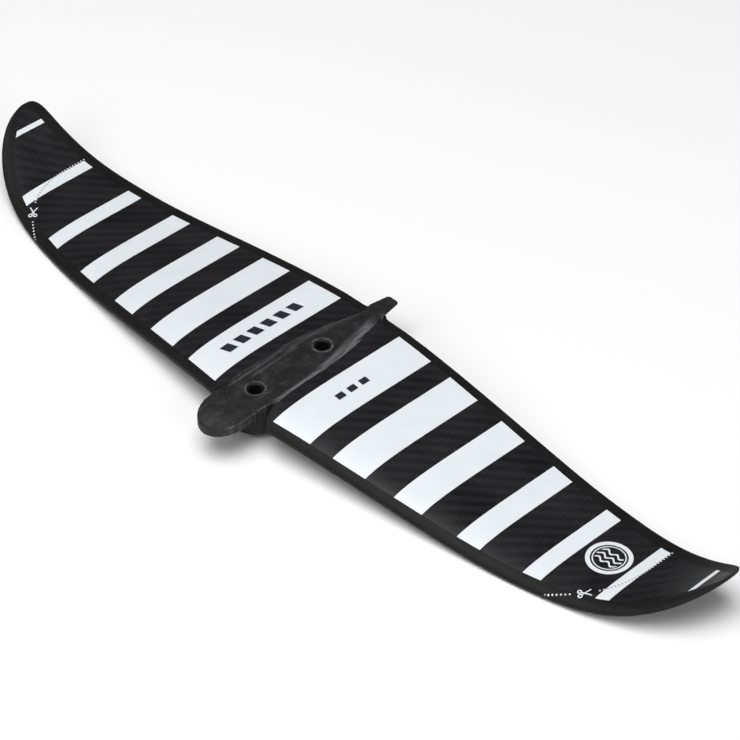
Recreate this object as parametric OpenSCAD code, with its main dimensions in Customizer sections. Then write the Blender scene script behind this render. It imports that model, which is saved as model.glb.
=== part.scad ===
// Tail wing of a hydrofoil: a moulded carbon wing with a central seat for two screws.
// +X points to the nose, +Y to the left tip and +Z out of the seat face.
// The origin is on the seat face, midway between the two screws.

/* [Planform] */
// Distance from the middle of the wing to a tip
half_span = 200; // [195:1:210]
// Leading edge ahead of the origin, at the middle of the wing
lead_root = 29.35; // [28:0.05:30]
// How far the leading edge sweeps back, almost in a straight line
lead_sweep = 27.7; // [25:0.1:28.5]
// How far the leading edge curves back as well, at the tip
lead_curve = 35.6; // [32:0.1:36]
// Trailing edge behind the origin, at the middle of the wing
trail_root = 48.6; // [47:0.1:50]
// How far the trailing edge comes forward toward the tip
trail_sweep = 8; // [7:0.1:10]
// How far the rounded corner of the trailing edge reaches forward at the tip
trail_curve = 6; // [4:0.1:6.5]

/* [Section] */
// Height of the edge line below the seat face, at the middle of the wing
root_drop = 6.1; // [5.5:0.1:6.5]
// Fall of the wing from the middle to its lowest station
droop = 11.4; // [8:0.1:14]
// Rise of the tips above the lowest station
upturn = 21; // [15:0.5:25]
// Height of the trailing edge above the leading edge, at the middle of the wing
nose_down = 4.1; // [3:0.1:5]
// Height of the upper surface over the edge line, as a share of the chord
upper_bulge = 0.057; // [0.05:0.001:0.06]
// Depth of the lower surface below the edge line, as a share of the chord
lower_bulge = 0.03; // [0.028:0.001:0.035]
// Thickness of the leading and trailing edges
edge_thickness = 0.8; // [0.8:0.05:1]
// Thickness of each carbon skin
skin = 0.5; // [0.4:0.05:0.5]

/* [Seat] */
// Distance between the two screws
screw_spacing = 36.5; // [35:0.5:38]
// Bore for each screw
screw_bore = 5.4; // [5.2:0.1:6]
// Outside diameter of the metal sleeve round each screw
sleeve_diameter = 7.8; // [7.4:0.1:8.4]
// Half width of the tongue
tongue_half_width = 10.3; // [10:0.1:11]
// Half width of the seat where it joins the wing
seat_half_width = 11.8; // [11:0.1:12]
// Tip of the tongue, ahead of the origin
tongue_tip = 46; // [44:0.5:48]
// Thickness of the tongue
tongue_thickness = 3.8; // [3:0.1:4]
// End of the tail, behind the origin
tail_end = 58; // [56:0.5:60]
// Depth of the lower fairing below the seat face
fairing_depth = 19; // [17:0.5:19]

/* [Graphics] */
// Inner edge of the first stripe, from the middle of the wing
stripe_start = 16.6; // [16.4:0.1:16.8]
// Distance from one stripe to the next
stripe_pitch = 29.1; // [29:0.05:29.2]
// Width of the first stripe
stripe_width = 18.2; // [17:0.1:18.5]
// How much narrower each next stripe is
stripe_taper = 2.63; // [2.6:0.01:2.7]
// Thickness of each printed layer
print_layer = 0.06; // [0.05:0.01:0.1]
// Radius of the badge
badge_radius = 9.1; // [8:0.1:9.5]

/* [Hidden] */
$fn = 48;

// Colours
carbon = [0.13, 0.13, 0.14];
rim_grey = [0.2, 0.2, 0.2];
pod_grey = [0.25, 0.25, 0.26];
print_white = [0.93, 0.95, 0.96];
print_dark = [0.1, 0.11, 0.13];
core_tan = [0.75, 0.66, 0.5];
laminate = [0.2, 0.22, 0.2];
metal = [0.62, 0.62, 0.6];

// Spanwise stations, in millimetres from the middle of the wing
low_station = 133;
hub_half_span = stripe_start;
last_stripe_shift = 0.9;
last_stripe_trim = 0.6;
function stripe_inner(k) = stripe_start + stripe_pitch * (k - 1) - (k == 7 ? last_stripe_shift : 0);
function stripe_outer(k) =
  stripe_inner(k) + stripe_width - stripe_taper * (k - 1) - (k == 7 ? last_stripe_trim : 0);
tip_start = stripe_outer(5);
tip_last = half_span - 0.1;
function steps(from, to, count) = [for (i = [0 : count - 1]) from + (to - from) * i / count];
inner_stations = [
  for (k = [1 : 5])
    each concat(
      k > 1 ? steps(stripe_outer(k - 1), stripe_inner(k), 2) : [],
      steps(stripe_inner(k), stripe_outer(k), 2)
    ),
  tip_start
];
// The last stretch of the tip has stations that crowd toward the end
end_steps = 8;
tip_stations = concat(
  steps(tip_start, stripe_inner(6), 5),
  steps(stripe_inner(6), stripe_outer(6), 2),
  steps(stripe_outer(6), stripe_inner(7), 5),
  [stripe_inner(7)],
  [for (i = [0 : end_steps]) tip_last - (tip_last - stripe_outer(7)) * pow(1 - i / end_steps, 2)]
);
hub_stations = [0, hub_half_span];

// Planform: the two edges, as functions of the distance y from the middle
function reach(y) = y / half_span;
function round_end(y, power) = 1 - sqrt(max(0, 1 - pow(reach(y), power)));
function lead_x(y) = lead_root - lead_sweep * pow(reach(y), 1.1) - lead_curve * round_end(y, 8);
function trail_x(y) = -trail_root + trail_sweep * pow(reach(y), 1.75) + trail_curve * round_end(y, 80);
function chord(y) = lead_x(y) - trail_x(y);
function at_x(y, s) = lead_x(y) - chord(y) * s;

// Front view: the wing is level at the hub, droops to its lowest station and turns up at the tip
function ease(u) = u * (0.5 + 2 * u - 1.5 * pow(u, 2) - 1.2 * pow(u * (1 - u), 2));
function droop_share(y) = min(1, max(0, y - hub_half_span) / (low_station - hub_half_span));
function rise_share(y) = max(0, y - low_station) / (half_span - low_station);
function edge_z(y) = -root_drop - droop * ease(droop_share(y)) + upturn * pow(rise_share(y), 3);

// Section: a rounded nose and a thin tail, where s runs from 0 at the nose to 1 at the tail
function upper_share(s) =
  3.97 * sqrt(s) - 3.51 * s - 2.43 * pow(s, 2) + 2.99 * pow(s, 3) - 1.02 * pow(s, 4);
function lower_share(s) =
  2.969 * sqrt(s) - 1.26 * s - 3.516 * pow(s, 2) + 2.843 * pow(s, 3) - 1.036 * pow(s, 4);
// The nose points down, more so toward the tip and less so at its very end
function slope(y) = nose_down / chord(0) * (1 + pow(reach(y), 4) / 2 - 1.2 * pow(reach(y), 16));
function line_z(y, s) = edge_z(y) + slope(y) * chord(y) * s;
outer_top = function (y, s) line_z(y, s) + upper_bulge * chord(y) * upper_share(s) + edge_thickness / 2;
outer_bottom = function (y, s) line_z(y, s) - lower_bulge * chord(y) * lower_share(s) - edge_thickness / 2;
inner_top = function (y, s) outer_top(y, s) - skin;
inner_bottom = function (y, s) outer_bottom(y, s) + skin;
cap_thickness = 0.8;
web_top = function (y, s) inner_top(y, s) - cap_thickness;
web_bottom = function (y, s) inner_bottom(y, s) + cap_thickness;
print_top = function (y, s) outer_top(y, s) + print_layer;
overprint_top = function (y, s) outer_top(y, s) + 2 * print_layer;

// Chordwise zones: front rim, front core, spar, rear core and rear rim
spar_front = 0.22;
spar_rear = 0.42;
widest_rim = 0.3;
front_rim = function (y)
  min(widest_rim, (3.05 + 0.9 * reach(y) + 2.6 * pow(reach(y), 4) + 4 * pow(reach(y), 16)) / chord(y));
rear_rim = function (y) 1 - min(widest_rim, (3.7 + 1.6 * reach(y)) / chord(y));
nose_zone = function (y) [for (i = [0 : 5]) front_rim(y) * pow(i / 5, 2)];
front_zone = function (y) concat(steps(front_rim(y), spar_front, 5), [spar_front]);
spar_zone = function (y) concat(steps(spar_front, spar_rear, 3), [spar_rear]);
rear_zone = function (y) concat(steps(spar_rear, rear_rim(y), 7), [rear_rim(y)]);
tail_zone = function (y) concat(steps(rear_rim(y), 1, 2), [1]);
skin_zone = function (y) concat(
  steps(front_rim(y), spar_front, 5),
  steps(spar_front, spar_rear, 3),
  rear_zone(y)
);
tip_print_zone = function (y) concat(steps(front_rim(y), rear_rim(y), 14), [rear_rim(y)]);
tip_zone = function (y) concat(
  [for (i = [0 : 4]) front_rim(y) * pow(i / 5, 2)],
  steps(front_rim(y), rear_rim(y), 14),
  tail_zone(y)
);

// Solid between two surfaces over one grid, with every cell split along the same diagonal
module slab(stations, zone, top, bottom) {
  rows = len(stations);
  cols = len(zone(stations[0]));
  upper = [for (y = stations) for (s = zone(y)) [at_x(y, s), y, top(y, s)]];
  lower = [for (y = stations) for (s = zone(y)) [at_x(y, s), y, bottom(y, s)]];
  under = rows * cols;
  last_row = rows - 1;
  last_col = cols - 1;
  function cell(i, j) = [i * cols + j, i * cols + j + 1, (i + 1) * cols + j + 1, (i + 1) * cols + j];
  faces = concat(
    [for (i = [0 : last_row - 1]) for (j = [0 : last_col - 1]) let (c = cell(i, j))
      each [[c[0], c[1], c[2]], [c[0], c[2], c[3]]]],
    [for (i = [0 : last_row - 1]) for (j = [0 : last_col - 1]) let (c = cell(i, j))
      each [[under + c[0], under + c[2], under + c[1]], [under + c[0], under + c[3], under + c[2]]]],
    [for (i = [0 : last_row - 1]) let (a = i * cols, d = a + cols)
      each [[a, d, under + d], [a, under + d, under + a]]],
    [for (i = [0 : last_row - 1]) let (b = i * cols + last_col, c = b + cols)
      each [[c, b, under + c], [b, under + b, under + c]]],
    [for (j = [0 : last_col - 1]) let (a = j, b = j + 1)
      each [[b, a, under + a], [b, under + a, under + b]]],
    [for (j = [0 : last_col - 1]) let (d = last_row * cols + j, c = d + 1)
      each [[d, c, under + c], [d, under + c, under + d]]]
  );
  polyhedron(points = concat(upper, lower), faces = faces, convexity = 10);
}

// side is 1 for the left half and -1 for the right half
module half(side) {
  if (side > 0) children();
  else mirror([0, 1, 0]) children();
}

module front_and_rear() {
  for (x = [screw_spacing / 2, -screw_spacing / 2])
    translate([x, 0, 0]) children();
}

// Outline of the seat, seen from above: a round tongue, a wider middle and a narrow tail
seat_middle = 24;
module seat_outline(inset = 0) {
  tongue_length = tongue_half_width + 2.5;
  tail_half_width = tongue_half_width * 0.3;
  corner = tail_half_width * 0.7;
  hull() {
    translate([tongue_tip - tongue_length, 0])
      scale([tongue_length - inset, tongue_half_width - inset]) circle(r = 1, $fn = 48);
    square([seat_middle, 2 * (seat_half_width - inset)], center = true);
    for (side = [1, -1])
      translate([corner - tail_end, side * (tail_half_width - corner)]) circle(r = corner - inset, $fn = 24);
  }
}

// Space that the hub takes through the wing
module hub_space(tall = 60) {
  translate([0, 0, -tall / 2]) linear_extrude(tall) seat_outline();
}

// Wing pieces that end at the side of the hub
module beside_hub(stations, zone, top, bottom) {
  difference() {
    slab(concat(hub_stations, [for (i = [1 : len(stations) - 1]) stations[i]]), zone, top, bottom);
    hub_space();
  }
}

// Everything inside the skins across the hub
module hub_inside() {
  for (side = [1, -1])
    half(side) slab(hub_stations, skin_zone, inner_top, inner_bottom);
}

sleeve_top = 0;
sleeve_bottom = -10.5;
module screw_holes(diameter, margin = 0) {
  front_and_rear()
    translate([0, 0, sleeve_bottom - margin])
      cylinder(d = diameter, h = sleeve_top - sleeve_bottom + 2 * margin, $fn = 64);
}

// The wing's edge line, level across the hub, parts the mount pod from the lower fairing
parting_slope = atan2(nose_down, chord(0));
module above_parting() {
  translate([lead_x(0), 0, -root_drop]) rotate([0, parting_slope, 0]) translate([-120, -30, 0]) cube([160, 60, 40]);
}

// Front end of the hub below the tongue
neck_x = lead_root - 1;
edge_round = 1.5;
module mount_pod() {
  color(pod_grey)
    difference() {
      intersection() {
        hull() {
          translate([0, 0, -edge_round / 3]) linear_extrude(edge_round / 3) seat_outline(edge_round);
          translate([0, 0, -edge_round]) linear_extrude(edge_round / 3) seat_outline(edge_round / 3);
          translate([0, 0, -root_drop - 3]) linear_extrude(root_drop + 1) seat_outline();
        }
        above_parting();
      }
      translate([neck_x, -30, -30]) cube([60, 60, 30 - tongue_thickness]);
      hub_inside();
      screw_holes(sleeve_diameter, 1);
    }
}

// The lower fairing is a long drop with a round nose and a deep, rounded belly
fairing_half_width = tongue_half_width;
fairing_tail = 46;
fairing_lip = 8.4;
belly = 6;
recess_diameter = 10;
module fairing_section(x, half_width, depth, rounding = belly) {
  translate([x, 0, rounding - depth]) scale([half_width, half_width, rounding]) sphere(r = 1, $fn = 32);
  translate([x, 0, -root_drop]) scale([half_width, half_width, 1]) cylinder(r = 1, h = 4, $fn = 32);
}
module lower_fairing() {
  color(pod_grey)
    difference() {
      hull() {
        fairing_section(neck_x - fairing_half_width, fairing_half_width, fairing_depth);
        fairing_section(0, fairing_half_width * 0.95, fairing_depth - 1);
        fairing_section(-screw_spacing / 2, fairing_half_width * 0.75, fairing_depth - 3.5);
        fairing_section(3 - fairing_tail, 3, root_drop + 1, 1);
      }
      above_parting();
      hub_inside();
      translate([neck_x - 5, -30, -fairing_lip]) cube([60, 60, 30]);
      screw_holes(sleeve_diameter, 1);
      front_and_rear() translate([0, 0, sleeve_bottom - 20]) cylinder(d = recess_diameter, h = 20, $fn = 64);
    }
}

module screw_sleeve(x) {
  color(metal)
    translate([x, 0, sleeve_bottom])
      difference() {
        cylinder(d = sleeve_diameter, h = sleeve_top - sleeve_bottom, $fn = 64);
        translate([0, 0, -1]) cylinder(d = screw_bore, h = sleeve_top - sleeve_bottom + 2, $fn = 64);
      }
}
module front_screw_sleeve() { screw_sleeve(screw_spacing / 2); }
module rear_screw_sleeve() { screw_sleeve(-screw_spacing / 2); }

// Dense blocks between the skins, where the screws clamp
module hub_block(zone) {
  color(laminate)
    difference() {
      for (side = [1, -1])
        half(side) slab(hub_stations, zone, inner_top, inner_bottom);
      screw_holes(sleeve_diameter, 1);
    }
}
module hub_block_front() { hub_block(front_zone); }
module hub_block_rear() { hub_block(rear_zone); }

// The spar runs through the hub, from one tip block to the other
module spar_part(top, bottom) {
  color(carbon)
    for (side = [1, -1])
      half(side) slab(concat([0], inner_stations), spar_zone, top, bottom);
}
module upper_spar_cap() { spar_part(inner_top, web_top); }
module lower_spar_cap() { spar_part(web_bottom, inner_bottom); }
module spar_web() { spar_part(web_top, web_bottom); }

module upper_skin(side) {
  color(carbon) half(side) beside_hub(inner_stations, skin_zone, outer_top, inner_top);
}
module lower_skin(side) {
  color(carbon) half(side) beside_hub(inner_stations, skin_zone, inner_bottom, outer_bottom);
}
module core(side, zone) {
  color(core_tan) half(side) slab(inner_stations, zone, inner_top, inner_bottom);
}
module rim(side, zone) {
  color(rim_grey) half(side) beside_hub(inner_stations, zone, outer_top, outer_bottom);
}

// Solid tip, which can be trimmed along the cut line
module tip(side) {
  color(carbon) half(side) slab(tip_stations, tip_zone, outer_top, outer_bottom);
}

// White stripe k: it covers the wing from one rim to the other
function within(stations, from, to) = [for (y = stations) if (y > from - 0.01 && y < to + 0.01) y];
module stripe(side, k) {
  on_tip = stripe_inner(k) > tip_start;
  stations = within(on_tip ? tip_stations : inner_stations, stripe_inner(k), stripe_outer(k));
  color(print_white)
    half(side) slab(stations, on_tip ? tip_print_zone : skin_zone, print_top, outer_top);
}

// Thin print on the tip: the flat drawing below it, wrapped over the surface
module tip_print(bottom, top, outboard = stripe_inner(6)) {
  intersection() {
    slab(within(tip_stations, tip_start, outboard), tip_zone, top, bottom);
    translate([0, 0, -40]) linear_extrude(80) children();
  }
}

// The cut line curves outboard from the leading edge to the rear end of stripe 6
cut_start = [8.8, 144.9];
cut_end = [-38, 167.6];
dot_count = 37;
dot_size = 0.75;
mark_place = 0.28;
function cut_x(w) = cut_start[0] + (cut_end[0] - cut_start[0]) * pow(w, 1.25);
function cut_y(w) = cut_start[1] + (cut_end[1] - cut_start[1]) * (1 - pow(1 - pow(w, 1.25), 3.5));
module cut_dots() {
  for (i = [0 : dot_count])
    if (abs(i / dot_count - mark_place) > 0.08)
      translate([cut_x(i / dot_count), cut_y(i / dot_count)]) circle(d = dot_size, $fn = 6);
}
module stripe_band(k) {
  translate([-100, stripe_inner(k)]) square([200, stripe_outer(k) - stripe_inner(k)]);
}
module cut_line(side) {
  color(print_white)
    half(side) {
      tip_print(outer_top, print_top, stripe_outer(6) + 5)
        difference() {
          cut_dots();
          stripe_band(6);
        }
      tip_print(print_top, overprint_top, stripe_outer(6))
        intersection() {
          cut_dots();
          stripe_band(6);
        }
    }
}

// Open scissors: two crossed blades, each with a finger ring
blade_length = 3;
handle_length = 1.3;
module scissors() {
  for (side = [1, -1])
    rotate(side * 30) {
      translate([-handle_length, -0.25]) square([handle_length + blade_length, 0.5]);
      translate([-handle_length - 0.7, 0])
        difference() {
          circle(r = 0.95, $fn = 20);
          circle(r = 0.45, $fn = 16);
        }
    }
}
module cut_mark(side) {
  along = atan2(cut_y(mark_place + 0.05) - cut_y(mark_place), cut_x(mark_place + 0.05) - cut_x(mark_place));
  color(print_white)
    half(side)
      tip_print(outer_top, print_top)
        translate([cut_x(mark_place), cut_y(mark_place)]) rotate(along) scale([1, side]) scissors();
}

// Badge: two rings round three waves
badge_x = -20.7;
badge_y = 151.6;
module ring(outside, inside) {
  difference() {
    circle(r = outside, $fn = 48);
    circle(r = inside, $fn = 48);
  }
}
wave_length = 4.4;
module wave() {
  points = [for (x = [-6.6 : 0.55 : 6.6]) [x, 0.75 * sin(360 * x / wave_length)]];
  back = [for (i = [len(points) - 1 : -1 : 0]) points[i] - [0, 0.9]];
  polygon(concat(points, back));
}
module badge() {
  color(print_white)
    tip_print(outer_top, print_top)
      translate([badge_x, badge_y]) {
        ring(badge_radius, badge_radius - 1.8);
        ring(badge_radius - 2.5, badge_radius - 3);
        intersection() {
          circle(r = badge_radius - 3.6, $fn = 48);
          for (row = [-1 : 1])
            translate([row * 2.6, 0]) rotate(90) translate([0, 0.45]) wave();
        }
      }
}

// Dark bars on the widest stripe, as generic print
module stripe_print(side, bar_count, bar, slant) {
  color(print_dark)
    half(side)
      intersection() {
        slab(within(inner_stations, stripe_inner(1), stripe_outer(1)), skin_zone, overprint_top, print_top);
        translate([(lead_x(0) - trail_root) / 2, stripe_inner(1) + stripe_width / 2, -20])
          linear_extrude(40)
            for (i = [0 : bar_count - 1])
              translate([(i - (bar_count - 1) / 2) * bar[0] * 1.6, 0])
                multmatrix([[1, slant, 0, 0], [0, 1, 0, 0]]) square(bar, center = true);
      }
}
module stripe_mark_right() { stripe_print(-1, 6, [4.5, 5], 0.25); }
module stripe_mark_left() { stripe_print(1, 3, [4, 3], 0); }

mount_pod();
lower_fairing();
front_screw_sleeve();
rear_screw_sleeve();
hub_block_front();
hub_block_rear();
upper_spar_cap();
lower_spar_cap();
spar_web();
upper_skin(1);  // upper_skin_left
upper_skin(-1);  // upper_skin_right
lower_skin(1);  // lower_skin_left
lower_skin(-1);  // lower_skin_right
core(1, front_zone);  // front_core_left
core(-1, front_zone);  // front_core_right
core(1, rear_zone);  // rear_core_left
core(-1, rear_zone);  // rear_core_right
rim(1, nose_zone);  // leading_edge_left
rim(-1, nose_zone);  // leading_edge_right
rim(1, tail_zone);  // trailing_edge_left
rim(-1, tail_zone);  // trailing_edge_right
tip(1);  // tip_left
tip(-1);  // tip_right
stripe(1, 1);  // stripe_left_1
stripe(1, 2);  // stripe_left_2
stripe(1, 3);  // stripe_left_3
stripe(1, 4);  // stripe_left_4
stripe(1, 5);  // stripe_left_5
stripe(1, 6);  // stripe_left_6
stripe(1, 7);  // stripe_left_7
stripe(-1, 1);  // stripe_right_1
stripe(-1, 2);  // stripe_right_2
stripe(-1, 3);  // stripe_right_3
stripe(-1, 4);  // stripe_right_4
stripe(-1, 5);  // stripe_right_5
stripe(-1, 6);  // stripe_right_6
stripe(-1, 7);  // stripe_right_7
cut_line(1);  // cut_line_left
cut_line(-1);  // cut_line_right
cut_mark(1);  // cut_mark_left
cut_mark(-1);  // cut_mark_right
badge();
stripe_mark_left();
stripe_mark_right();
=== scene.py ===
import math

import bmesh
import bpy
import numpy as np
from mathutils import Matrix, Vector


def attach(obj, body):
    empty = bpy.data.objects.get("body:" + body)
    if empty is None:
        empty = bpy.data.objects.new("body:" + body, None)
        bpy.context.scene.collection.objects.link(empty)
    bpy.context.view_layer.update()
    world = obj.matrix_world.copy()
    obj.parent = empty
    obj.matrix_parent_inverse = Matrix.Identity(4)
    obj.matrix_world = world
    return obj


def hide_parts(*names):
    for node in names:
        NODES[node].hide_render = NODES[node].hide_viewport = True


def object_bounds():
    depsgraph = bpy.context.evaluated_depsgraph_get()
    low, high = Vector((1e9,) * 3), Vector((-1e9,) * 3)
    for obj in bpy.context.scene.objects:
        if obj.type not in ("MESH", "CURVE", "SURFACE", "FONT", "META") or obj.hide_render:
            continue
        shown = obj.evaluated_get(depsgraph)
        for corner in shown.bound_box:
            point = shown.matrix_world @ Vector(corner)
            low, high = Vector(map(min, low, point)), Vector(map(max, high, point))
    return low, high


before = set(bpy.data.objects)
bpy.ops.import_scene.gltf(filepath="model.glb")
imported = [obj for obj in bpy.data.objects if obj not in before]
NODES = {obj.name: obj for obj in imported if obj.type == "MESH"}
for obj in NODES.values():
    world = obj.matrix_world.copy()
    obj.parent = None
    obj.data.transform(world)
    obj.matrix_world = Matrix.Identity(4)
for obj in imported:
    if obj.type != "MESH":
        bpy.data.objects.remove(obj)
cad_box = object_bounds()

MM = 0.001
SIDES = {"left": 1, "right": -1}

# ---------------------------------------------------------------- camera
CAMERA_AT = Vector((0.64230, 0.69305, 0.84494))
LOOK_AT = Vector((-0.01937, 0.02569, 0.00233))
lens = bpy.data.cameras.new("camera")
lens.lens = 156.72
lens.sensor_width = 36.0
lens.clip_start = 0.05
camera = bpy.data.objects.new("camera", lens)
camera.location = CAMERA_AT
camera.rotation_euler = (LOOK_AT - CAMERA_AT).to_track_quat("-Z", "Y").to_euler()
bpy.context.scene.collection.objects.link(camera)
bpy.context.scene.camera = camera

# ---------------------------------------------------------------- shape of the wing, in millimetres
HALF_SPAN = 200.0
LOW_STATION = 133.0
LEAD_ROOT, LEAD_SWEEP, LEAD_CURVE = 29.35, 27.7, 35.6
TRAIL_ROOT, TRAIL_SWEEP, TRAIL_CURVE = 48.6, 8, 6
WIDEST_RIM = 0.3
ROOT_DROP, DROOP, UPTURN = 6.1, 11.4, 21.0
NOSE_DOWN = 4.1
UPPER_BULGE, LOWER_BULGE = 0.057, 0.03
EDGE_THICKNESS, SKIN, PRINT_LAYER = 0.8, 0.5, 0.06
STRIPE_START, STRIPE_PITCH, STRIPE_WIDTH, STRIPE_TAPER = 16.6, 29.1, 18.2, 2.63
LAST_SHIFT, LAST_TRIM = 0.9, 0.6
NOTCH_EDGE, NOTCH_INNER, NOTCH_DEPTH = 17.0, 11.2, 9.5
NOSE_LENGTH, NOSE_BEND, NOSE_CORNER = 3.0, 0.08, 0.5
FLARE_EDGE, FLARE_INNER, FLARE_DEPTH = 7.6, 4.4, 1.3
SCREW_X, SLEEVE_CUT, SLEEVE_END = 18.25, 3.92, -10.5
SCREWS = {"front": SCREW_X, "rear": -SCREW_X}
# How far a hidden face goes under its neighbour
TUCKED = 0.02


def stripe_inner(k):
    return STRIPE_START + STRIPE_PITCH * (k - 1) - LAST_SHIFT * (k == 7)


def stripe_outer(k):
    return stripe_inner(k) + STRIPE_WIDTH - STRIPE_TAPER * (k - 1) - LAST_TRIM * (k == 7)


TIP_START = stripe_outer(5)
TIP_LAST = HALF_SPAN - 0.1


def reach(y):
    return np.asarray(y, float) / HALF_SPAN


def round_end(y, power):
    return 1 - np.sqrt(np.maximum(0, 1 - reach(y) ** power))


def lead_x(y):
    return LEAD_ROOT - LEAD_SWEEP * reach(y) ** 1.1 - LEAD_CURVE * round_end(y, 8)


def trail_x(y):
    return -TRAIL_ROOT + TRAIL_SWEEP * reach(y) ** 1.75 + TRAIL_CURVE * round_end(y, 80)


def chord(y):
    return lead_x(y) - trail_x(y)


def front_rim(y):
    """Width of the plain rim along the leading edge, as a share of the chord."""
    r = reach(y)
    return np.minimum(WIDEST_RIM, (3.05 + 0.9 * r + 2.6 * r**4 + 4 * r**16) / chord(y))


def rear_rim(y):
    return 1 - np.minimum(WIDEST_RIM, (3.7 + 1.6 * reach(y)) / chord(y))


def quarter(y, edge, inner):
    """0 outside edge, rising as a quarter circle to 1 at inner."""
    u = np.clip((edge - y) / (edge - inner), 0, 1)
    return 1 - np.sqrt(1 - u**2)


def at_x(y, s):
    """Position along X. The trailing edge flares into the tail of the seat."""
    flare = FLARE_DEPTH * quarter(y, FLARE_EDGE, FLARE_INNER)
    flare = flare * np.clip((s - rear_rim(y)) / (1 - rear_rim(y)), 0, 1)
    return lead_x(y) - chord(y) * s - flare


def notch(y):
    """How far the front of the wing stands back beside the seat."""
    return NOTCH_DEPTH * quarter(y, NOTCH_EDGE, NOTCH_INNER) ** 0.85


def panel_front(y):
    """Chord share where the front rim ends and the skin begins."""
    return front_rim(y) + 0.8 * notch(y) / chord(y)


def edge_z(y):
    u = np.clip((y - STRIPE_START) / (LOW_STATION - STRIPE_START), 0, 1)
    fall = u * (0.5 + 2 * u - 1.5 * u**2 - 1.2 * (u * (1 - u)) ** 2)
    rise = np.maximum(0, y - LOW_STATION) / (HALF_SPAN - LOW_STATION)
    return -ROOT_DROP - DROOP * fall + UPTURN * rise**3


def line_z(y, s):
    twist = 1 + reach(y) ** 4 / 2 - 1.2 * reach(y) ** 16
    return edge_z(y) + NOSE_DOWN / chord(0) * twist * chord(y) * s


def round_drop(d, radius):
    return radius - np.sqrt(np.maximum(0, radius**2 - np.maximum(0, radius - d) ** 2))


def upper_bulge(s):
    return 3.97 * np.sqrt(s) - 3.51 * s - 2.43 * s**2 + 2.99 * s**3 - 1.02 * s**4


def top_z(y, s):
    """Upper surface: the section, run out almost straight at the nose to a crisp front edge."""
    c = chord(y)
    bend = np.minimum(NOSE_LENGTH, 0.3 * c)
    b = bend / c
    lean = UPPER_BULGE * (3.97 / (2 * np.sqrt(b)) - 3.51 - 4.86 * b + 8.97 * b**2 - 4.08 * b**3)
    left = bend - c * s
    nose = UPPER_BULGE * c * upper_bulge(b) - lean * left - NOSE_BEND * left**2
    rise = np.where(left > 0, nose, UPPER_BULGE * c * upper_bulge(s))
    corner = round_drop(np.maximum(0, c * s - notch(y)), NOSE_CORNER + 0.4 * smooth(notch(y) / 3))
    return line_z(y, s) + rise - corner + EDGE_THICKNESS / 2


def bottom_z(y, s):
    bulge = 2.969 * np.sqrt(s) - 1.26 * s - 3.516 * s**2 + 2.843 * s**3 - 1.036 * s**4
    return line_z(y, s) - LOWER_BULGE * chord(y) * bulge - EDGE_THICKNESS / 2


def share(x, y):
    return np.clip((lead_x(y) - x) / chord(y), 0, 1)


def wing_top(x, y):
    y = np.abs(y)
    return top_z(y, share(x, y))


def wing_bottom(x, y):
    y = np.abs(y)
    return bottom_z(y, share(x, y))


def smooth(t):
    t = np.clip(t, 0, 1)
    return t * t * (3 - 2 * t)


# ---------------------------------------------------------------- mesh helpers
def finish_mesh(name, bm, angle):
    """Cleans a closed bmesh, points its faces outward, marks its sharp edges and links it."""
    bmesh.ops.remove_doubles(bm, verts=bm.verts, dist=1e-6)
    bmesh.ops.dissolve_degenerate(bm, dist=1e-7, edges=bm.edges)
    bmesh.ops.recalc_face_normals(bm, faces=bm.faces)
    for edge in bm.edges:
        edge.smooth = edge.is_manifold and edge.calc_face_angle(0) < math.radians(angle)
    for face in bm.faces:
        face.smooth = True
    mesh = bpy.data.meshes.new(name)
    bm.to_mesh(mesh)
    bm.free()
    piece = bpy.data.objects.new(name, mesh)
    bpy.context.scene.collection.objects.link(piece)
    return piece


def loft(name, rings, side=1, angle=40, around=False):
    """Closed mesh through rings of points in millimetres. Ring point j is over or under point n - 1 - j."""
    rings = np.asarray(rings, float)
    count, size = rings.shape[:2]
    bm = bmesh.new()
    verts = [bm.verts.new((p[0] * MM, side * p[1] * MM, p[2] * MM)) for p in rings.reshape(-1, 3)]
    at = lambda i, j: verts[(i % count) * size + j % size]
    for i in range(count if around else count - 1):
        for j in range(size):
            bm.faces.new((at(i, j), at(i, j + 1), at(i + 1, j + 1), at(i + 1, j)))
    if not around:
        for i in (0, count - 1):
            for j in range(size // 2 - 1):
                bm.faces.new((at(i, j), at(i, j + 1), at(i, size - 2 - j), at(i, size - 1 - j)))
    return finish_mesh(name, bm, angle)


def cut(piece, cutters):
    """Takes the cutters away from the piece for good."""
    for cutter in cutters:
        modifier = piece.modifiers.new("cut", "BOOLEAN")
        modifier.operation = "DIFFERENCE"
        modifier.solver = "EXACT"
        modifier.object = cutter
    solid = bpy.data.meshes.new_from_object(piece.evaluated_get(bpy.context.evaluated_depsgraph_get()))
    piece.modifiers.clear()
    bm = bmesh.new()
    bm.from_mesh(solid)
    bmesh.ops.remove_doubles(bm, verts=bm.verts, dist=2e-6)
    bmesh.ops.dissolve_degenerate(bm, dist=1e-6, edges=bm.edges)
    for edge in bm.edges:
        edge.smooth = edge.is_manifold and edge.calc_face_angle(0) < math.radians(40)
    bm.to_mesh(piece.data)
    bm.free()
    for cutter in cutters:
        bpy.data.objects.remove(cutter)


def rod(name, x, radius, low, high, segments=72):
    bm = bmesh.new()
    size = {"radius1": radius * MM, "radius2": radius * MM, "depth": (high - low) * MM}
    bmesh.ops.create_cone(bm, cap_ends=True, segments=segments, **size)
    bmesh.ops.translate(bm, verts=bm.verts, vec=(x * MM, 0, (low + high) / 2 * MM))
    return finish_mesh(name, bm, 40)


def fill(stops, gap):
    """Stations from the first stop to the last, no further apart than gap, with every stop among them."""
    out = []
    for a, b in zip(stops, stops[1:]):
        out += list(np.linspace(a, b, max(1, math.ceil((b - a) / gap)), endpoint=False))
    return np.array(out + [stops[-1]])


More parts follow.
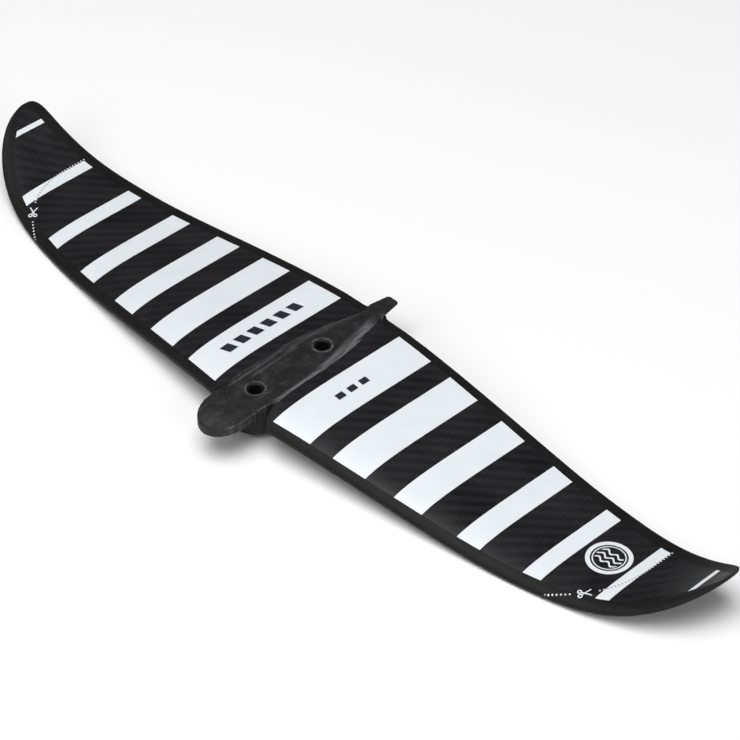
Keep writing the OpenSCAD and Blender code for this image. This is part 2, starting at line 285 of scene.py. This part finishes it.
def paint(piece, slot, *materials):
    which = np.zeros(len(piece.data.polygons), dtype=np.int32)
    piece.data.polygons.foreach_get("material_index", which)
    piece.data.materials.clear()
    for material in materials:
        piece.data.materials.append(material)
    piece.data.polygons.foreach_set("material_index", np.minimum(which, len(materials) - 1))


# ---------------------------------------------------------------- materials
class Look:
    """A node material, with short calls for the nodes it is made of."""

    def __init__(self, name):
        self.material = bpy.data.materials.new(name)
        self.material.use_nodes = True
        self.nodes = self.material.node_tree.nodes
        self.links = self.material.node_tree.links
        self.shader = next(n for n in self.nodes if n.type == "BSDF_PRINCIPLED")
        self.place = self.add("ShaderNodeTexCoord").outputs["Object"]

    def add(self, kind, **settings):
        node = self.nodes.new(kind)
        for key, value in settings.items():
            setattr(node, key, value)
        return node

    def feed(self, socket, value):
        if isinstance(value, bpy.types.NodeSocket):
            self.links.new(value, socket)
        else:
            socket.default_value = value

    def math(self, operation, a, b=0.0, c=0.0, clamp=False):
        node = self.add("ShaderNodeMath", operation=operation, use_clamp=clamp)
        for socket, value in zip(node.inputs, (a, b, c)):
            self.feed(socket, value)
        return node.outputs[0]

    def stretch(self, scale, turn=0.0):
        """Object coordinates times scale on each axis, after a turn about Z."""
        node = self.add("ShaderNodeMapping")
        self.links.new(self.place, node.inputs["Vector"])
        node.inputs["Rotation"].default_value = (0, 0, turn)
        node.inputs["Scale"].default_value = scale
        return node.outputs[0]

    def noise(self, vector, scale, detail=3.0, roughness=0.5):
        node = self.add("ShaderNodeTexNoise")
        self.links.new(vector, node.inputs["Vector"])
        node.inputs["Scale"].default_value = scale
        node.inputs["Detail"].default_value = detail
        node.inputs["Roughness"].default_value = roughness
        return node.outputs["Fac"]

    def span(self, value, low, high, to_low=0.0, to_high=1.0):
        node = self.add("ShaderNodeMapRange")
        for key, number in (("From Min", low), ("From Max", high), ("To Min", to_low), ("To Max", to_high)):
            node.inputs[key].default_value = number
        self.feed(node.inputs["Value"], value)
        return node.outputs[0]

    def mix(self, fac, a, b):
        node = self.add("ShaderNodeMix", data_type="RGBA")
        self.feed(node.inputs["Factor"], fac)
        for socket, value in ((node.inputs[6], a), (node.inputs[7], b)):
            self.feed(socket, (*value, 1.0) if isinstance(value, tuple) else value)
        return node.outputs[2]

    def attribute(self, name):
        return self.add("ShaderNodeAttribute", attribute_name=name).outputs["Fac"]

    def bump(self, height, strength, distance):
        node = self.add("ShaderNodeBump")
        node.inputs["Strength"].default_value = strength
        node.inputs["Distance"].default_value = distance
        self.links.new(height, node.inputs["Height"])
        self.links.new(node.outputs[0], self.shader.inputs["Normal"])

    def set(self, **values):
        for key, value in values.items():
            name = key.replace("_", " ").title().replace("Ior", "IOR")
            self.feed(self.shader.inputs[name], value if not isinstance(value, tuple) else (*value, 1.0))

    def twill(self, tow):
        """2 by 2 twill of tows this many millimetres wide: (which tow is on top, its height)."""
        split = self.add("ShaderNodeSeparateXYZ")
        self.links.new(self.place, split.inputs[0])
        u = self.math("MULTIPLY", split.outputs[0], 1 / (tow * MM))
        v = self.math("MULTIPLY", split.outputs[1], 1 / (tow * MM))
        cell = self.math("ADD", self.math("FLOOR", u), self.math("FLOOR", v))
        over = self.math("LESS_THAN", self.math("FLOORED_MODULO", cell, 4.0), 2.0)
        crown = []
        for w in (v, u):
            off = self.math("SUBTRACT", self.math("FRACT", w), 0.5)
            square = self.math("MULTIPLY", off, off)
            crown.append(self.math("SUBTRACT", 1.0, self.math("MULTIPLY", square, 4.0)))
        warp, weft = crown
        gap = self.math("SUBTRACT", warp, weft)
        height = self.math("MULTIPLY_ADD", gap, over, weft)
        return over, height


def woven(name, dark, light, tow=1.7):
    look = Look(name)
    over, height = look.twill(tow)
    fibre = look.noise(look.stretch((900, 250, 400)), 1.0, 4)
    cloud = look.noise(look.place, 55.0, 4)
    # The tow on top is painted lighter: painted sheen of the twill. The cloud adds random tone.
    tone = look.math("MULTIPLY_ADD", over, 0.3, look.span(cloud, 0.3, 0.7, 0.0, 0.6))
    # Darker toward the low edges of each tow: painted shade between the tows.
    tone = look.math("MULTIPLY", tone, look.span(height, 0.0, 1.0, 0.7, 1.0))
    tone = look.math("MULTIPLY", tone, look.span(fibre, 0.3, 0.7, 0.8, 1.15))
    look.set(
        base_color=look.mix(tone, dark, light),
        roughness=look.math("MULTIPLY_ADD", over, 0.07, look.span(cloud, 0.3, 0.7, 0.36, 0.46)),
    )
    look.shader.inputs["Specular IOR Level"].default_value = 0.3
    look.bump(height, 0.18, 0.00005)
    return look.material


def edge_carbon(name, dark, light):
    look = Look(name)
    streak = look.noise(look.stretch((700, 60, 700)), 1.0, 5)
    cloud = look.noise(look.place, 70.0, 3)
    tone = look.math("MULTIPLY_ADD", streak, 0.6, look.math("MULTIPLY", cloud, 0.4))
    look.set(
        base_color=look.mix(look.span(tone, 0.3, 0.7), dark, light),
        roughness=look.span(cloud, 0.3, 0.7, 0.5, 0.62),
    )
    look.shader.inputs["Specular IOR Level"].default_value = 0.2
    look.bump(streak, 0.15, 0.00005)
    return look.material


def seat_carbon(name):
    look = Look(name)
    # The vertex attribute holds real scuffs together with painted light and painted shade.
    wear_and_light = look.attribute("wear_and_light")
    patch = look.noise(look.place, 130.0, 6, 0.65)
    split = look.add("ShaderNodeSeparateXYZ")
    along = look.add("ShaderNodeCombineXYZ")
    look.links.new(look.place, split.inputs[0])
    fine = ((split.outputs[0], 75), (look.attribute("edge"), 900), (split.outputs[1], 40))
    for socket, (value, scale) in zip(along.inputs, fine):
        look.feed(socket, look.math("MULTIPLY", value, scale))
    drag = look.noise(along.outputs[0], 1.0, 6, 0.7)
    speck = look.noise(look.place, 900.0, 3, 0.6)
    scuffs_and_light = look.math("MULTIPLY", wear_and_light, look.span(drag, 0.4, 0.6, 0.1, 1.3))
    rub = look.math("MULTIPLY", look.span(patch, 0.52, 0.72), look.span(drag, 0.48, 0.66))
    tone = look.math("ADD", scuffs_and_light, look.math("MULTIPLY", rub, 0.35))
    tone = look.math("ADD", tone, look.span(patch, 0.38, 0.62, 0.0, 0.1))
    tone = look.math("ADD", tone, look.span(speck, 0.3, 0.75, 0.0, 0.1), clamp=True)
    look.set(
        base_color=look.mix(tone, (0.004, 0.004, 0.0045), (0.13, 0.13, 0.135)),
        roughness=look.span(patch, 0.3, 0.7, 0.5, 0.66),
    )
    look.shader.inputs["Specular IOR Level"].default_value = 0.22
    look.bump(look.math("ADD", drag, look.math("MULTIPLY", speck, 0.5)), 0.3, 0.00012)
    return look.material


def printed(name, colour, shade, roughness):
    look = Look(name)
    _, height = look.twill(1.7)
    cloud = look.noise(look.place, 90.0, 4)
    look.set(
        base_color=look.mix(look.span(cloud, 0.3, 0.7), shade, colour),
        roughness=look.span(cloud, 0.3, 0.7, roughness - 0.06, roughness + 0.06),
    )
    look.bump(height, 0.12, 0.00004)
    return look.material


def machined(name, dark, light, metallic):
    look = Look(name)
    turn = look.noise(look.stretch((300, 300, 2500)), 1.0, 5)
    stain = look.noise(look.place, 500.0, 4)
    look.set(
        base_color=look.mix(look.span(stain, 0.35, 0.65), dark, light),
        roughness=look.span(turn, 0.3, 0.7, 0.35, 0.6),
    )
    look.shader.inputs["Metallic"].default_value = metallic
    look.bump(turn, 0.2, 0.00005)
    return look.material


def inner_fill(name, dark, light, scale):
    look = Look(name)
    grain = look.noise(look.stretch(scale), 1.0, 5)
    cell = look.noise(look.place, 1500.0, 2)
    look.set(
        base_color=look.mix(look.span(grain, 0.3, 0.7), dark, light),
        roughness=look.span(cell, 0.3, 0.7, 0.6, 0.85),
    )
    look.bump(cell, 0.3, 0.0001)
    return look.material


WOVEN = woven("woven_carbon", (0.004, 0.0035, 0.0045), (0.018, 0.0163, 0.0188))
RIM = edge_carbon("rim_carbon", (0.004, 0.0037, 0.0037), (0.011, 0.010, 0.0097))
SEAT = seat_carbon("seat_carbon")
WHITE = printed("white_print", (0.80, 0.835, 0.87), (0.76, 0.80, 0.84), 0.36)
GREY = printed("grey_print", (0.36, 0.37, 0.38), (0.27, 0.28, 0.29), 0.4)
DARK = printed("dark_print", (0.022, 0.023, 0.030), (0.014, 0.015, 0.020), 0.4)
METAL = machined("sleeve_metal", (0.02, 0.02, 0.02), (0.26, 0.25, 0.23), 0.85)
# Near black bore wall: painted shade inside the screw hole.
BORE = machined("bore_painted_shade", (0.002, 0.002, 0.002), (0.008, 0.0075, 0.0065), 0.0)
FOAM = inner_fill("core_foam", (0.50, 0.42, 0.28), (0.68, 0.60, 0.44), (400, 400, 400))
LAMINATE = inner_fill("hub_laminate", (0.02, 0.022, 0.02), (0.05, 0.053, 0.05), (200, 200, 3000))
TOWS = inner_fill("spar_carbon", (0.010, 0.010, 0.011), (0.05, 0.05, 0.052), (900, 40, 900))

# ---------------------------------------------------------------- seat and fairing outlines
TONGUE_TIP, TONGUE_LENGTH, TONGUE_HALF, TONGUE_THICK = 46.0, 12.8, 10.3, 3.8
TOE_HALF, TOE_START, TOE_EASE = 11.5, 24, 10
WAIST_START, WAIST_LENGTH, WAIST_CUT = -8, 39, 6.3
TAIL_END, TAIL_CORNER = 58.3, 1.2
TAB_START, TAB_EASE, TAB_HALF, TAB_FLARE, TAB_X = -44, 5, 3.0, 0.16, -57.5
TAB_TOP, TAB_RIM, TAB_BEVEL = -0.1, -0.6, 1.5
DIP_START, DIP_LENGTH, DIP_DEPTH = 26, 20, 2.0
GROOVE_DEPTH, GROOVE_AT, GROOVE_WIDTH = 0.45, 0.9, 0.28
FREE_EDGE, TAB_EDGE, LOWER_EDGE = 0.6, 0.25, 0.4
NECK_X = 28.0
PARTING_FRONT = 29
PARTING_RISE = NOSE_DOWN / float(chord(0))


def parting_z(x):
    """Height of the plane where the seat meets the fairing."""
    return -ROOT_DROP + PARTING_RISE * (PARTING_FRONT - x)


def seat_half(x):
    """Half width of the seat at its toe on the wing."""
    x = np.asarray(x, float)
    nose = np.clip((x - (TONGUE_TIP - TONGUE_LENGTH)) / TONGUE_LENGTH, 0, 1)
    half = TONGUE_HALF * np.sqrt(1 - nose**2)
    half = half + (TOE_HALF - TONGUE_HALF) * smooth((TOE_START - x) / TOE_EASE)
    half = half - WAIST_CUT * np.clip((WAIST_START - x) / WAIST_LENGTH, 0, 1.3) ** 1.45
    tab = smooth((TAB_START - x) / TAB_EASE)
    half = half * (1 - tab) + (TAB_HALF + TAB_FLARE * (x - TAB_X)) * tab
    corner = np.clip((x + TAIL_END) / TAIL_CORNER, 0, 1)
    return np.maximum(0.05, half - TAIL_CORNER * (1 - np.sqrt(1 - (1 - corner) ** 2)))


def outline_distance(x, y):
    """Distance in plan from each point to the seat's outline."""
    ends = -TAIL_END + np.linspace(0, 1, 60) ** 2 * 6
    nose = TONGUE_TIP - 0.02 - np.linspace(1, 0, 90) ** 2 * 13
    ox = np.concatenate([ends, np.linspace(-52.2, 32.9, 240), nose])
    oy = seat_half(ox)
    back = np.linspace(0, float(seat_half(-TAIL_END)), 9)
    ox, oy = np.append(ox, np.full(9, -TAIL_END)), np.append(oy, back)
    away = np.hypot(x[..., None] - ox, np.abs(y)[..., None] - oy)
    return away.min(axis=-1)


def band_width(x):
    """Width of the soft slope between the toe and the flat of the seat."""
    wide = 2.4 + 1.9 * smooth((16 - x) / 52)
    return np.minimum(wide, 0.62 * seat_half(x) + 0.2)


def tongue_dip(x):
    """The tongue bends down toward its tip."""
    return -DIP_DEPTH * (np.maximum(0, x - DIP_START) / DIP_LENGTH) ** 1.5


def groove_part(x):
    """1 where the groove runs beside the tail, 0 elsewhere along the seat."""
    return smooth((-30 - x) / 8) * smooth((x + 50) / 3)


def seat_top(x, y):
    """Height of the seat, which is soft on the wing and crisp at the tongue and the tail, and the
    distance to its outline."""
    d = outline_distance(x, y)
    toe = wing_top(x, seat_half(x)) - 0.04
    rise = smooth(d / band_width(x))
    groove = GROOVE_DEPTH * np.exp(-(((d - GROOVE_AT) / GROOVE_WIDTH) ** 2)) * groove_part(x)
    on_wing = toe * (1 - rise) - groove
    free = -round_drop(d, FREE_EDGE)
    tail = TAB_TOP - round_drop(d, TAB_EDGE)
    ahead = smooth((x - 15) / 5)
    behind = smooth((-46.5 - x) / 3)
    z = on_wing * (1 - ahead) * (1 - behind) + free * ahead + tail * behind
    return z + tongue_dip(x), d


def seat_bottom(x, d):
    under = -TONGUE_THICK + tongue_dip(x) + round_drop(d, LOWER_EDGE)
    inside = parting_z(x) - 0.1
    tail = TAB_RIM - TAB_BEVEL * np.clip(d / 2, 0, 1)
    z = np.where(x > NECK_X, under, inside)
    return np.where(x < -45.5, tail, z)


def seat_piece():
    xs = np.concatenate(
        [
            -TAIL_END + np.linspace(0, 1, 12) ** 2 * 3.0,
            np.arange(-54.7, NECK_X - 0.6, 0.7),
            [NECK_X - 0.3, NECK_X + 0.01, NECK_X + 0.4],
            np.arange(NECK_X + 1.0, 33.0, 0.8),
            TONGUE_TIP - 0.01 - np.linspace(1, 0, 28) ** 2 * TONGUE_LENGTH,
        ]
    )
    lean = np.sin(np.linspace(math.pi / 2, -math.pi / 2, 69))
    x = np.repeat(xs[:, None], len(lean), 1)
    y = seat_half(xs)[:, None] * lean
    top, d = seat_top(x, y)
    low = np.minimum(seat_bottom(x, d), top - TUCKED)
    rings = np.concatenate([np.stack([x, y, top], -1), np.stack([x, y, low], -1)[:, ::-1]], axis=1)
    piece = loft("seat_pod", rings)
    cut(piece, [rod("cut_" + word, x, SLEEVE_CUT, -14, 2) for word, x in SCREWS.items()])
    return piece


# Scratches along the right side of the seat: place, width, from, to, how gently they end, strength
STREAKS = ((-8.6, 0.4, -6, 26, 4, 0.6), (-6.2, 0.5, -12, 16, 4, 0.5), (-7.6, 0.5, -34, -2, 8, 0.4))


def along(x, low, high, ease=4):
    """1 between low and high, falling to 0 over the ease inside each end."""
    return smooth((x - low) / ease) * smooth((high - x) / ease)


def peak(value, middle, width):
    return np.exp(-(((value - middle) / width) ** 2))


def seat_wear_and_light(piece):
    """Where the seat is scuffed lighter, and where light and shade are painted on it, and the distance that
    the scratches follow.
    """
    co = np.empty(len(piece.data.vertices) * 3)
    piece.data.vertices.foreach_get("co", co)
    x, y = (co.reshape(-1, 3) / MM).T[:2]
    d = outline_distance(x, y)
    wide = 2.2 + 3.4 * smooth((18 - x) / 50)
    # Lighter band on the slope beside the flat: partly wear, partly painted light; three times stronger on
    # the left side, which is painted light.
    worn_and_lit = np.where(y > 0, 0.9, 0.3) * smooth((wide - d) / (wide * 0.6)) * along(x, -47, 21, 9)
    # Painted shade: the band is darkened in the groove beside the tail.
    worn_and_lit *= 1 - 0.9 * peak(d, GROOVE_AT, 0.3) * groove_part(x)
    # Painted highlight: a thin light line along the right edge of the seat.
    worn_and_lit += (y < 0) * 0.35 * peak(d, 0.3, 0.25) * along(x, -46, 24)
    for place_y, width, low, high, ease, strength in STREAKS:
        worn_and_lit += strength * peak(y, place_y, width) * along(x, low, high, ease)
    worn_and_lit += 0.5 * peak(x, 18, 3.5) * peak(y, 5, 0.8)
    # Painted highlight: a thin light line along the left edge of the tongue.
    worn_and_lit += (y > 0) * 0.5 * peak(d, 0.3, 0.3) * along(x, 18, 43)
    # Painted light: the tongue lighter toward its tip, where it slopes down.
    worn_and_lit += 0.12 * smooth((x - 30) / 12) * smooth(d / 2)
    for screw_x in SCREWS.values():
        worn_and_lit += 0.9 * smooth((4.6 - np.hypot(x - screw_x, y)) / 0.5)
    wear_and_light = piece.data.attributes.new("wear_and_light", "FLOAT", "POINT")
    wear_and_light.data.foreach_set("value", np.clip(worn_and_lit, 0, 1).astype(np.float32))
    edge = piece.data.attributes.new("edge", "FLOAT", "POINT")
    free = smooth((x - 18) / 12)
    edge.data.foreach_set("value", ((d * (1 - free) + y * free) * MM).astype(np.float32))


# Tail, rear screw, middle and nose of the fairing: place, half width, depth and height of its round belly
FAIRING_TAIL, FAIRING_NOSE, NOSE_ROUND, TAIL_ROUND = -43.0, 18.4, 10.3, 3
FAIRING_X = (FAIRING_TAIL, -SCREW_X, 0.0, FAIRING_NOSE)
FAIRING_HALF = (3.0, 7.7, 9.8, 10.3)
FAIRING_DEPTH = (7.1, 15.5, 18.0, 19.4)
FAIRING_BELLY = (1.0, 6.0, 6.0, 6.0)
# Ahead of the lip, the fairing's top stands clear of the seat
LIP_X, LIP_Z, LIP_ROUND = 24.0, -8.4, 0.8


def eased(x, values):
    """Values between the fairing's stations, with the corners eased over a few millimetres."""
    nearby = [np.clip(x + offset, FAIRING_TAIL, FAIRING_NOSE) for offset in np.linspace(-5, 5, 11)]
    return np.mean([np.interp(place_x, FAIRING_X, values) for place_x in nearby], axis=0)


def fairing_end(x):
    """1 along the fairing, falling to 0 as a quarter circle at its nose and its tail."""
    nose = np.clip((x - FAIRING_NOSE) / NOSE_ROUND, 0, 1)
    tail = np.clip((FAIRING_TAIL - x) / TAIL_ROUND, 0, 1)
    return np.sqrt(np.maximum(0, 1 - nose**2)) * np.sqrt(np.maximum(0, 1 - tail**2))


def fairing_half(x):
    return eased(x, FAIRING_HALF) * fairing_end(x)


def fairing_piece():
    nose = NOSE_ROUND - 0.01
    xs = np.concatenate(
        [
            FAIRING_TAIL - TAIL_ROUND + 0.01 + np.linspace(0, 1, 10) ** 2 * TAIL_ROUND,
            np.arange(-42.2, FAIRING_NOSE - 0.1, 0.9),
            FAIRING_NOSE + nose * np.sin(np.linspace(0, math.pi / 2, 26)[:14]),
            [LIP_X - 0.02, LIP_X + 0.02],
            FAIRING_NOSE + nose * np.sin(np.linspace(0, math.pi / 2, 40)[23:]),
        ]
    )
    xs = np.unique(np.round(xs, 3))
    rings = []
    for x in xs:
        end = float(fairing_end(x))
        half = max(0.02, float(fairing_half(x)))
        belly = float(eased(x, FAIRING_BELLY)) * end
        side = float(eased(x, FAIRING_DEPTH)) - float(eased(x, FAIRING_BELLY))
        high = LIP_Z if x > LIP_X else min(parting_z(x), float(wing_bottom(x, half)) + 1.0)
        turn = np.linspace(0, math.pi, 41)
        across = -half * np.cos(turn)
        low = np.stack([np.full(41, x), across, -side - belly * np.sin(turn)], -1)
        brow_z = high - LIP_ROUND * (1 - np.sin(turn)) ** 3 * (x > LIP_X)
        brow = np.stack([np.full(41, x), across, brow_z], -1)
        rings.append(np.concatenate([low, brow[::-1]]))
    piece = loft("fairing", rings)
    tools = []
    for x in SCREWS.values():
        tools += [rod("cut_sleeve", x, SLEEVE_CUT, -16, 2), rod("cut_recess", x, 5.0, -40, SLEEVE_END)]
    cut(piece, tools)
    return piece


def sleeve(name, x):
    """Sleeve with a thin bright lip, a dark chamfer and a bore painted near black as painted shade."""
    lip = [(3.9, -0.2), (3.84, -0.07), (3.62, -0.05), (3.45, -0.14), (3.0, -0.2), (2.7, -0.5)]
    outline = [(3.9, SLEEVE_END), *lip, (2.7, SLEEVE_END)]
    rings = [
        [(x + r * math.cos(t), r * math.sin(t), z) for r, z in outline]
        for t in np.linspace(0, 2 * math.pi, 96, endpoint=False)
    ]
    piece = loft(name, rings, around=True)
    for face in piece.data.polygons:
        r = math.hypot(face.center.x / MM - x, face.center.y / MM)
        face.material_index = int(r < 3.55) + int(r < 2.75)
    return piece


# ---------------------------------------------------------------- wing pieces
COLUMNS = 44
SPAR_FRONT = 0.22
TIP_RIM = 198.2
INNER_STOPS = [STRIPE_START] + [f(k) for k in range(1, 6) for f in (stripe_inner, stripe_outer)][1:]
INNER = fill(INNER_STOPS, 2.4)
TIP = np.concatenate(
    [
        fill([TIP_START, stripe_inner(6), stripe_outer(6), stripe_inner(7), stripe_outer(7)], 1.6)[:-1],
        TIP_LAST - (TIP_LAST - stripe_outer(7)) * np.linspace(1, 0, 18) ** 2,
    ]
)


def panel_shares(y):
    """Shares of the chord from the front rim to the rear rim, closer together toward the nose."""
    t = np.linspace(0, 1, COLUMNS) ** 1.35
    return panel_front(y) + (rear_rim(y) - panel_front(y)) * t


def nose_shares(y):
    """Shares across the front rim, from the skin to the leading edge."""
    start = notch(y) / chord(y)
    return start + (panel_front(y) - start) * np.linspace(1, 0, 14) ** 2


def tail_shares(y):
    return rear_rim(y) + (1 - rear_rim(y)) * np.linspace(0, 1, 6)


def strip(y, s, z):
    """Points of the surface z at spanwise positions y and chord shares s."""
    y = np.broadcast_to(np.asarray(y, float), np.shape(s))
    return np.stack([at_x(y, s), y, z(y, s)], -1)


def hub_rows(inner, rows=14):
    """Spanwise positions for each chord share, from the inner line out to the first stripe."""
    return [inner + (STRIPE_START - inner) * t for t in np.linspace(0, 1, rows)[:-1]]


def lower_inner(x):
    """Where the lower skin begins, just inside the fairing."""
    return np.where(x > 21, 9.0, np.maximum(0.4, fairing_half(x) - 1.0))


def skin_piece(name, side, upper):
    out = top_z if upper else bottom_z
    inward = -SKIN if upper else SKIN
    s = panel_shares(STRIPE_START)
    x = at_x(STRIPE_START, s)
    inner = np.maximum(0.4, seat_half(x) - 1.0) if upper else lower_inner(x)
    rings = []
    for row in hub_rows(inner) + list(INNER):
        s = panel_shares(row)
        face = strip(row, s, out)
        back = strip(row, s, lambda y, s: out(y, s) + inward)
        rings.append(np.concatenate([face, back[::-1]]))
    return loft(name, rings, side)


def rim_ring(y, s):
    top = strip(y, s, top_z)
    low = strip(y, s, bottom_z)
    return np.concatenate([top, low[::-1]])


def rim_piece(name, side, shares, start):
    stations = np.concatenate([np.linspace(start, STRIPE_START, 32)[:-1], INNER])
    return loft(name, [rim_ring(y, shares(y)) for y in stations], side)


def front_block():
    """Fill of the hub ahead of the spar, inside the skins and set back at the notches like them."""
    rings = []
    half = np.linspace(9, STRIPE_START, 24)
    for y in np.concatenate([-half[::-1], half]):
        s = np.linspace(SPAR_FRONT, float(panel_front(abs(y))), 10)
        top = strip(abs(y), s, lambda y, s: top_z(y, s) - SKIN - TUCKED)
        low = strip(abs(y), s, lambda y, s: bottom_z(y, s) + SKIN + TUCKED)
        ring = np.concatenate([top, low[::-1]])
        ring[:, 1] = y
        rings.append(ring)
    piece = loft("hub_fill_front", rings)
    cut(piece, [rod("cut_sleeve", SCREW_X, SLEEVE_CUT, -16, 2)])
    return piece


def tip_shares(y):
    return np.concatenate([nose_shares(y)[::-1][:-1], panel_shares(y), tail_shares(y)[1:]])


def tip_piece(name, side):
    piece = loft(name, [rim_ring(y, tip_shares(y)) for y in TIP], side)
    for face in piece.data.polygons:
        x, y = face.center.x / MM, abs(face.center.y) / MM
        s = (lead_x(y) - x) / chord(y)
        face.material_index = int(s < front_rim(y) or s > rear_rim(y) or y > TIP_RIM)
    return piece


def stripe_piece(name, side, k):
    stations = TIP if k > 5 else INNER
    stations = stations[(stations > stripe_inner(k) - 0.01) & (stations < stripe_outer(k) + 0.01)]
    rings = []
    for y in stations:
        s = panel_shares(y)
        face = strip(y, s, lambda y, s: top_z(y, s) + PRINT_LAYER)
        back = strip(y, s, lambda y, s: top_z(y, s) - TUCKED)
        rings.append(np.concatenate([face, back[::-1]]))
    return loft(name, rings, side)


def wrapped(name, node, low, high):
    """The node's printed shape on the finer surface, from height low to height high over it."""
    mesh = NODES[node].data.copy()
    mesh.name = name
    count = len(mesh.vertices)
    co = np.empty(count * 3)
    mesh.vertices.foreach_get("co", co)
    co = co.reshape(-1, 3)
    up = np.zeros(count)
    for face in mesh.polygons:
        for v in face.vertices:
            up[v] = max(up[v], face.normal.z)
    x, y = co[:, 0] / MM, co[:, 1] / MM
    co[:, 2] = (wing_top(x, y) + np.where(up > 0.5, high, low)) * MM
    mesh.vertices.foreach_set("co", co.ravel())
    bm = bmesh.new()
    bm.from_mesh(mesh)
    for face in bm.faces:
        face.material_index = 0
    return finish_mesh(name, bm, 30)


# ---------------------------------------------------------------- building
def place(piece, node, slot, *materials):
    paint(piece, slot, *materials)
    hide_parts(*([node] if isinstance(node, str) else node))
    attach(piece, "root")


seat = seat_piece()
seat_wear_and_light(seat)
place(seat, "mount_pod", "bare_carbon", SEAT)
place(fairing_piece(), "lower_fairing", "bare_carbon", SEAT)
for word, x in SCREWS.items():
    place(sleeve("sleeve_" + word, x), word + "_screw_sleeve", "sleeve_metal", METAL, RIM, BORE)
place(front_block(), "hub_block_front", "laminate", LAMINATE)

for word, side in SIDES.items():
    place(skin_piece("top_skin_" + word, side, True), "upper_skin_" + word, "woven_carbon", WOVEN)
    place(skin_piece("under_skin_" + word, side, False), "lower_skin_" + word, "woven_carbon", WOVEN)
    place(rim_piece("nose_rim_" + word, side, nose_shares, 9.4), "leading_edge_" + word, "rim_carbon", RIM)
    place(rim_piece("tail_rim_" + word, side, tail_shares, 3.6), "trailing_edge_" + word, "rim_carbon", RIM)
    place(tip_piece("wing_tip_" + word, side), "tip_" + word, "woven_carbon", WOVEN, RIM)
    for k in range(1, 8):
        number = f"_{word}_{k}"
        place(stripe_piece("white_stripe" + number, side, k), "stripe" + number, "white_print", WHITE)
    scissors = wrapped("scissors_" + word, "cut_mark_" + word, -TUCKED, PRINT_LAYER)
    place(scissors, "cut_mark_" + word, "white_print", WHITE)
    bars = wrapped("dark_bars_" + word, "stripe_mark_" + word, PRINT_LAYER - TUCKED, 2 * PRINT_LAYER)
    place(bars, "stripe_mark_" + word, "dark_print", DARK)
    dots = wrapped("cut_dots_" + word, "cut_line_" + word, -TUCKED, 2 * PRINT_LAYER)
    for face in dots.data.polygons:
        face.material_index = int(stripe_inner(6) < abs(face.center.y) / MM < stripe_outer(6))
    place(dots, "cut_line_" + word, "white_print", WHITE, GREY)
place(wrapped("round_badge", "badge", -TUCKED, PRINT_LAYER), "badge", "white_print", WHITE)

for names, material in (
    (("front_core_left", "front_core_right", "rear_core_left", "rear_core_right"), FOAM),
    (("hub_block_rear",), LAMINATE),
    (("upper_spar_cap", "lower_spar_cap", "spar_web"), TOWS),
):
    for name in names:
        NODES[name].data.materials.clear()
        NODES[name].data.materials.append(material)

# ---------------------------------------------------------------- floor and light
FLOOR_Z = min(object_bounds()[0][2], cad_box[0][2]) - 0.0002
bm = bmesh.new()
bmesh.ops.create_grid(bm, x_segments=8, y_segments=8, size=4.0)
bmesh.ops.translate(bm, verts=bm.verts, vec=(0, 0, FLOOR_Z))
ground = finish_mesh("floor", bm, 40)
pale = Look("pale_floor")
mottle = pale.noise(pale.place, 3.0, 2)
pale.set(
    base_color=pale.mix(mottle, (0.96, 0.96, 0.96), (0.98, 0.98, 0.98)),
    roughness=pale.span(mottle, 0, 1, 0.85, 0.95),
)
ground.data.materials.append(pale.material)


def softbox(name, at, aim, size, power):
    data = bpy.data.lights.new(name, "AREA")
    data.shape = "RECTANGLE"
    data.size, data.size_y = size
    data.energy = power
    lamp = bpy.data.objects.new(name, data)
    lamp.location = at
    lamp.rotation_euler = (Vector(aim) - Vector(at)).to_track_quat("-Z", "Y").to_euler()
    bpy.context.scene.collection.objects.link(lamp)


softbox("softbox_top", (0.45, 0.15, 1.9), (0, 0, 0), (1.5, 1.5), 37)
softbox("softbox_front", (1.7, -0.1, 1.2), (0, 0, 0), (1.2, 1.0), 8)
softbox("softbox_side", (0.2, 1.8, 1.1), (0, 0, 0), (1.2, 1.0), 6)
world = bpy.data.worlds.new("studio")
world.use_nodes = True
world.node_tree.nodes["Background"].inputs["Color"].default_value = (1.0, 1.0, 1.0, 1.0)
world.node_tree.nodes["Background"].inputs["Strength"].default_value = 0.12
bpy.context.scene.world = world
bpy.context.scene.view_settings.view_transform = "Standard"
